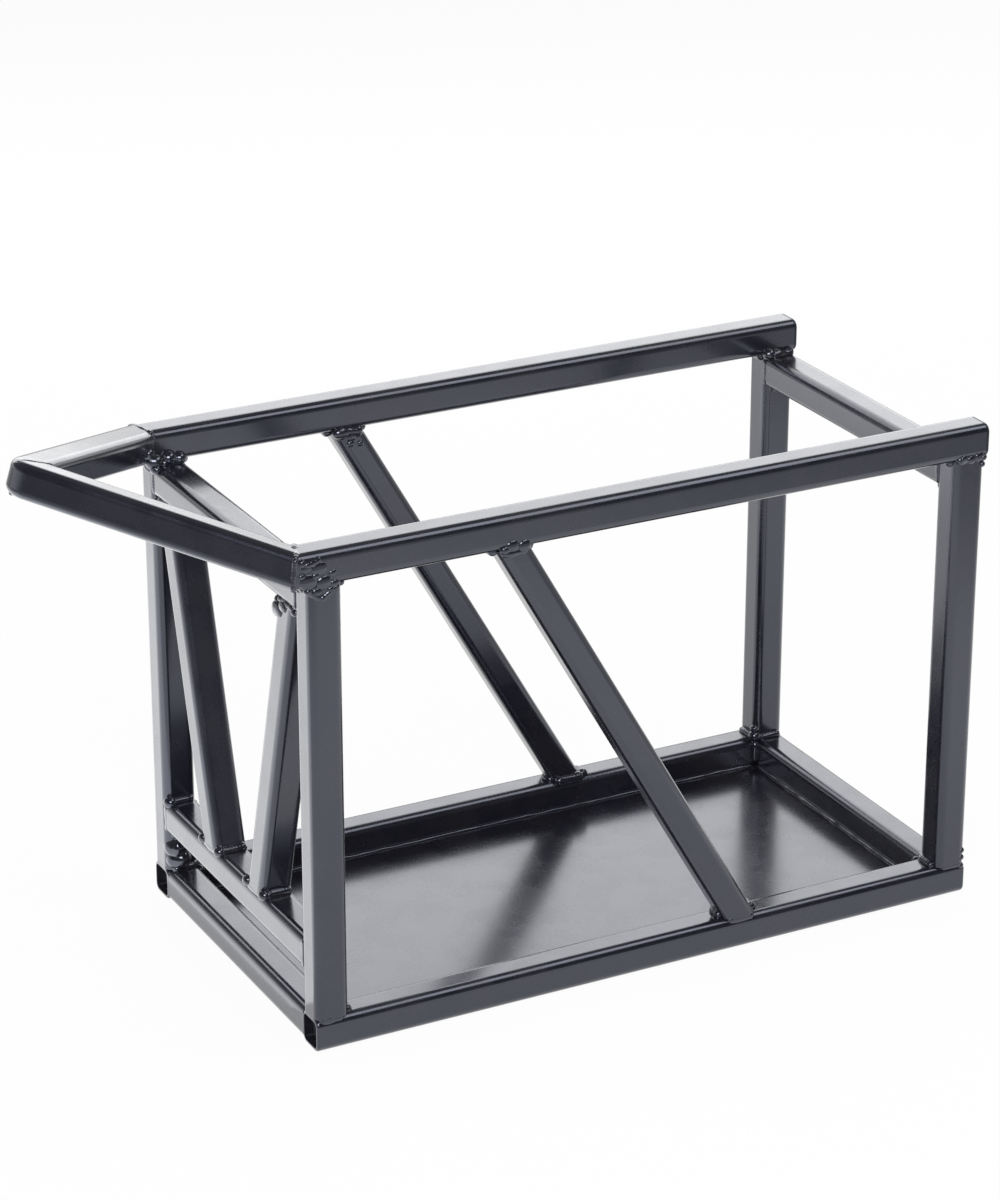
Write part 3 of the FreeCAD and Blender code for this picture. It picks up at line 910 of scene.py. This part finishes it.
# %% A cap from a stack of squares
def cap_piece(name, node, face, way, side, level, stack):
    """A cap: way is the direction that its face looks, the stack gives depths, half widths and radii."""
    pool = new_pool()
    count = 4 * (CORNER_STEPS + 1)
    for depth, half, radius in stack:
        for y, z in rounded_square(half, radius):
            pool["points"].append(at(face + way * depth, side * (outer - tube / 2) + y, level + z))
    for ring in range(len(stack) - 1):
        for step in range(count):
            here, there = ring * count, (ring + 1) * count
            beside = (step + 1) % count
            pool["faces"].append((here + step, here + beside, there + beside, there + step))
    pool["faces"].append(list(range(count)))
    pool["faces"].append([(len(stack) - 1) * count + step for step in reversed(range(count))])
    mesh = bpy.data.meshes.new(name)
    mesh.from_pydata(pool["points"], [], pool["faces"])
    mesh.validate()
    bm = bmesh.new()
    bm.from_mesh(mesh)
    bmesh.ops.recalc_face_normals(bm, faces=bm.faces)
    bm.to_mesh(mesh)
    bm.free()
    mesh.shade_smooth()
    mesh.set_sharp_from_angle(angle=math.radians(40))
    piece = bpy.data.objects.new(name, mesh)
    bpy.context.scene.collection.objects.link(piece)
    mesh.materials.append(cap_plastic)
    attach(piece, "root")
    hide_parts(node)
    print(name, len(mesh.vertices), "points")


# %% The soft edge of a cap
def soft_edge(depth, half, corner, size, steps=6):
    """Rounded squares that turn a cap's side into its face, with an edge of that size."""
    rings = []
    for step in range(steps + 1):
        angle = math.pi / 2 * step / steps
        inset = size * (1 - math.cos(angle))
        rings.append((depth + size * math.sin(angle), half - inset, max(0.4, corner - inset)))
    return rings


print("a soft edge is", len(soft_edge(0.0, tube / 2, tube / 4, 1.0)), "squares")

# %% The six caps
cover_gap, bore_gap, wall = 0.03, 0.02, 2.0
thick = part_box("cap_top_tail_near")[1].x / MM - (nose_face / MM + tail_face) - cover_gap
cover_half, cover_corner = 9.97, 4.97
cover = [(-9.0, 7.6, 2.6), (0.0, 7.8, 2.8), (0.0, 9.85, 4.85), (0.12, cover_half, cover_corner)]
cover += soft_edge(thick - 1.75, cover_half, cover_corner, 1.6)
cover += [(thick - 0.04, 6.5, 2.2), (thick, 3.5, 1.2)]
plug_half, plug_corner = tube / 2 - wall - bore_gap, 2.98
plug = [(-8.9, 7.6, 2.6), (-2.0, 7.8, 2.8)]
plug += [(-2.0, plug_half, plug_corner), (-0.7, plug_half, plug_corner)]
plug += soft_edge(-0.62, plug_half, plug_corner, 0.6)
plug += [(-0.04, 5.4, 1.6), (-0.22, 5.1, 1.4), (-0.22, 2.0, 0.8)]
bottom_level, top_level = foot_level - tube / 2, head_level + tube / 2
for name, side in BOTH.items():
    cap_piece(f"rail_cap_{name}", f"cap_top_tail_{name}", tail_face, 1, side, top_level, cover)
    for end, (face, way) in ENDS.items():
        node = f"cap_bottom_{end}_{name}"
        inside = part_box(node)[0 if end == "nose" else 1].x
        cap_piece(f"rail_plug_{end}_{name}", node, (inside - nose_face) / MM, -way, side, bottom_level, plug)
print("six caps, the cover", round(thick, 2), "mm thick")
